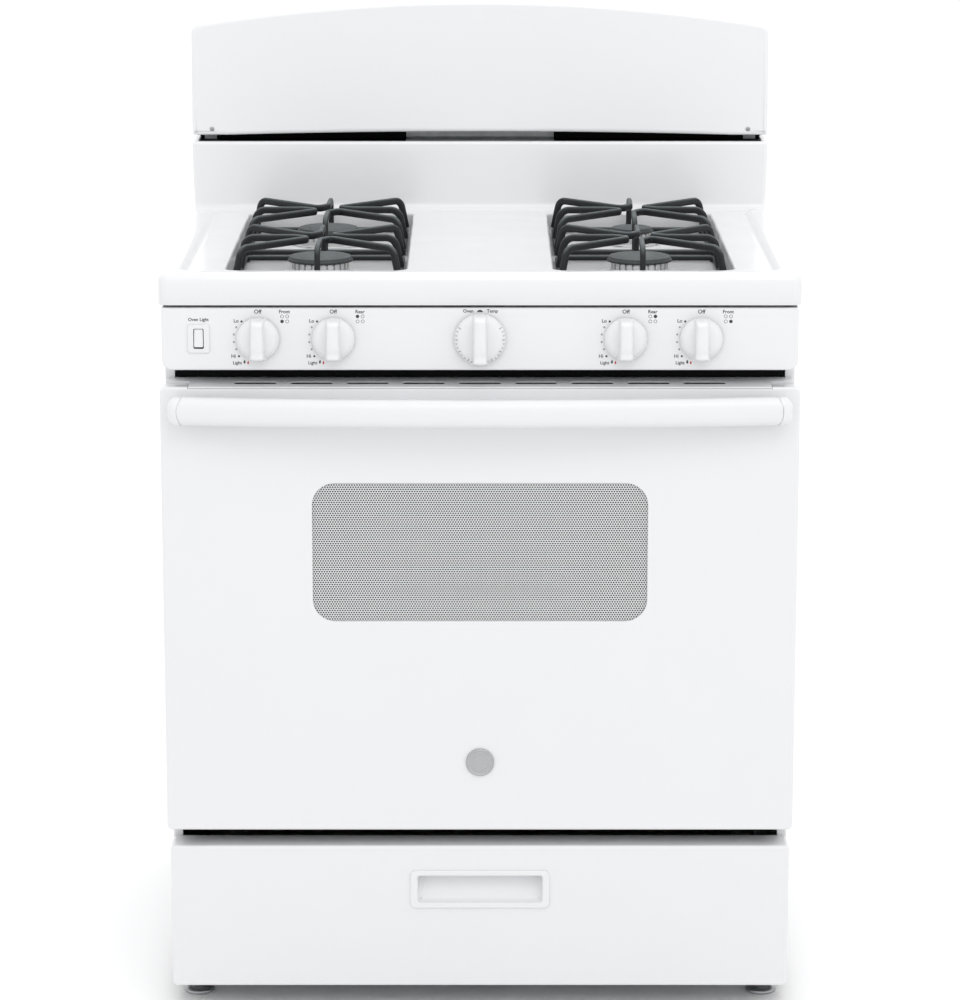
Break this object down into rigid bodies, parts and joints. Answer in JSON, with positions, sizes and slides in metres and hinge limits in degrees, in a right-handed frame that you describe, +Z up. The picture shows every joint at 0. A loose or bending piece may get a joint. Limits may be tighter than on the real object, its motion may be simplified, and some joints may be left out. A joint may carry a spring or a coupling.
{
  "type": "freestanding gas range",
  "caption": "Freestanding gas range with open burners under wire grates, front knobs, a windowed drop-down oven door, a storage drawer and an arched backguard.",
  "frame": {"origin": "centre of the bottom of the box of the whole range, on the floor under the levelling legs", "axes": "+Z up, -Y is the front with the door and knobs, +X is to the right of someone facing the range"},
  "size_m": [0.759, 0.725, 1.187],
  "materials": {
    "porcelain_white": "gloss",
    "paint_white": "satin",
    "plastic_white": "satin",
    "enamel_black": "satin",
    "galvanised_steel": "satin",
    "plain_steel": "satin",
    "grate_iron": "satin",
    "cap_enamel": "satin",
    "burner_aluminium": "satin",
    "manifold_aluminium": "satin",
    "badge_aluminium": "satin",
    "rack_chrome": "polished",
    "stem_brass": "satin",
    "window_glass": "gloss",
    "lamp_glass": "gloss",
    "insulation_wool": "matte",
    "gasket_rope": "matte",
    "gland_rubber": "matte"
  },
  "bodies": {
    "range_body": {"side_panel_left": "paint_white", "side_panel_right": "paint_white", "rear_panel": "galvanised_steel", "base_frame": "galvanised_steel", "cord_gland": "gland_rubber", "oven_liner": "enamel_black", "oven_floor": "enamel_black", "oven_burner": "plain_steel", "oven_insulation": "insulation_wool", "oven_lamp": "lamp_glass", "front_frame": "enamel_black", "door_gasket": "gasket_rope", "control_panel": "paint_white", "gas_manifold": "manifold_aluminium", "pressure_regulator": "manifold_aluminium", "oven_light_bezel": "plastic_white", "cooktop": "porcelain_white", "backguard_panel": "porcelain_white", "backguard_rear_cover": "galvanised_steel", "leveling_leg_front_left": "plain_steel", "leveling_leg_front_right": "plain_steel", "leveling_leg_rear_left": "plain_steel", "leveling_leg_rear_right": "plain_steel", "front_left_burner_head": "burner_aluminium", "front_right_burner_head": "burner_aluminium", "rear_left_burner_head": "burner_aluminium", "rear_right_burner_head": "burner_aluminium"},
    "oven_door": {"door_outer_panel": "porcelain_white", "door_top_trim": "paint_white", "door_outer_glass": "window_glass", "door_inner_panel": "enamel_black", "door_inner_glass": "window_glass", "door_handle": "plastic_white", "hinge_arm_left": "plain_steel", "hinge_arm_right": "plain_steel", "door_badge": "badge_aluminium"},
    "storage_drawer": {"drawer_front": "paint_white", "drawer_pull": "plastic_white", "drawer_tray": "galvanised_steel"},
    "front_left_stem": {"front_left_valve_stem": "stem_brass"},
    "front_left_dial": {"front_left_knob": "plastic_white"},
    "rear_left_stem": {"rear_left_valve_stem": "stem_brass"},
    "rear_left_dial": {"rear_left_knob": "plastic_white"},
    "rear_right_stem": {"rear_right_valve_stem": "stem_brass"},
    "rear_right_dial": {"rear_right_knob": "plastic_white"},
    "front_right_stem": {"front_right_valve_stem": "stem_brass"},
    "front_right_dial": {"front_right_knob": "plastic_white"},
    "oven_stem": {"oven_valve_stem": "stem_brass"},
    "oven_dial": {"oven_knob": "plastic_white"},
    "light_rocker": {"oven_light_switch": "plastic_white"},
    "front_left_pan_support": {"front_left_grate": "grate_iron"},
    "front_left_cap": {"front_left_burner_cap": "cap_enamel"},
    "front_right_pan_support": {"front_right_grate": "grate_iron"},
    "front_right_cap": {"front_right_burner_cap": "cap_enamel"},
    "rear_left_pan_support": {"rear_left_grate": "grate_iron"},
    "rear_left_cap": {"rear_left_burner_cap": "cap_enamel"},
    "rear_right_pan_support": {"rear_right_grate": "grate_iron"},
    "rear_right_cap": {"rear_right_burner_cap": "cap_enamel"},
    "rack_lower": {"oven_rack_lower": "rack_chrome"},
    "rack_upper": {"oven_rack_upper": "rack_chrome"}
  },
  "joints": [
    {"name": "door_hinge", "type": "hinge", "parent": "range_body", "child": "oven_door", "pos_m": [0, -0.2975, 0.243], "axis": [1, 0, 0], "range_deg": [0, 88], "stiffness_Nm_per_rad": 15, "springref_deg": -20.05},
    {"name": "drawer_slide", "type": "slide", "parent": "range_body", "child": "storage_drawer", "axis": [0, -1, 0], "range_m": [0, 0.36]},
    {"name": "front_left_push", "type": "slide", "parent": "range_body", "child": "front_left_stem", "axis": [0, 1, 0], "range_m": [0, 0.003], "stiffness_N_per_m": 1000, "springref_m": -0.003},
    {"name": "front_left_turn", "type": "hinge", "parent": "front_left_stem", "child": "front_left_dial", "pos_m": [-0.262, -0.3265, 0.838], "axis": [0, -1, 0], "range_deg": [0, 155]},
    {"name": "rear_left_push", "type": "slide", "parent": "range_body", "child": "rear_left_stem", "axis": [0, 1, 0], "range_m": [0, 0.003], "stiffness_N_per_m": 1000, "springref_m": -0.003},
    {"name": "rear_left_turn", "type": "hinge", "parent": "rear_left_stem", "child": "rear_left_dial", "pos_m": [-0.173, -0.3265, 0.838], "axis": [0, -1, 0], "range_deg": [0, 155]},
    {"name": "rear_right_push", "type": "slide", "parent": "range_body", "child": "rear_right_stem", "axis": [0, 1, 0], "range_m": [0, 0.003], "stiffness_N_per_m": 1000, "springref_m": -0.003},
    {"name": "rear_right_turn", "type": "hinge", "parent": "rear_right_stem", "child": "rear_right_dial", "pos_m": [0.172, -0.3265, 0.838], "axis": [0, -1, 0], "range_deg": [0, 155]},
    {"name": "front_right_push", "type": "slide", "parent": "range_body", "child": "front_right_stem", "axis": [0, 1, 0], "range_m": [0, 0.003], "stiffness_N_per_m": 1000, "springref_m": -0.003},
    {"name": "front_right_turn", "type": "hinge", "parent": "front_right_stem", "child": "front_right_dial", "pos_m": [0.261, -0.3265, 0.838], "axis": [0, -1, 0], "range_deg": [0, 155]},
    {"name": "oven_push", "type": "slide", "parent": "range_body", "child": "oven_stem", "axis": [0, 1, 0], "range_m": [0, 0.003], "stiffness_N_per_m": 1000, "springref_m": -0.003},
    {"name": "oven_turn", "type": "hinge", "parent": "oven_stem", "child": "oven_dial", "pos_m": [0, -0.3265, 0.838], "axis": [0, -1, 0], "range_deg": [0, 290]},
    {"name": "light_switch_rock", "type": "hinge", "parent": "range_body", "child": "light_rocker", "pos_m": [-0.332, -0.3065, 0.838], "axis": [1, 0, 0], "range_deg": [0, 14]},
    {"name": "front_left_grate_lift", "type": "slide", "parent": "range_body", "child": "front_left_pan_support", "axis": [0, 0, 1], "range_m": [0, 0.1]},
    {"name": "front_left_cap_lift", "type": "slide", "parent": "range_body", "child": "front_left_cap", "axis": [0, 0, 1], "range_m": [0, 0.008]},
    {"name": "front_right_grate_lift", "type": "slide", "parent": "range_body", "child": "front_right_pan_support", "axis": [0, 0, 1], "range_m": [0, 0.1]},
    {"name": "front_right_cap_lift", "type": "slide", "parent": "range_body", "child": "front_right_cap", "axis": [0, 0, 1], "range_m": [0, 0.008]},
    {"name": "rear_left_grate_lift", "type": "slide", "parent": "range_body", "child": "rear_left_pan_support", "axis": [0, 0, 1], "range_m": [0, 0.1]},
    {"name": "rear_left_cap_lift", "type": "slide", "parent": "range_body", "child": "rear_left_cap", "axis": [0, 0, 1], "range_m": [0, 0.008]},
    {"name": "rear_right_grate_lift", "type": "slide", "parent": "range_body", "child": "rear_right_pan_support", "axis": [0, 0, 1], "range_m": [0, 0.1]},
    {"name": "rear_right_cap_lift", "type": "slide", "parent": "range_body", "child": "rear_right_cap", "axis": [0, 0, 1], "range_m": [0, 0.008]},
    {"name": "rack_lower_slide", "type": "slide", "parent": "range_body", "child": "rack_lower", "axis": [0, -1, 0], "range_m": [0, 0.025]},
    {"name": "rack_upper_slide", "type": "slide", "parent": "range_body", "child": "rack_upper", "axis": [0, -1, 0], "range_m": [0, 0.025]}
  ]
}
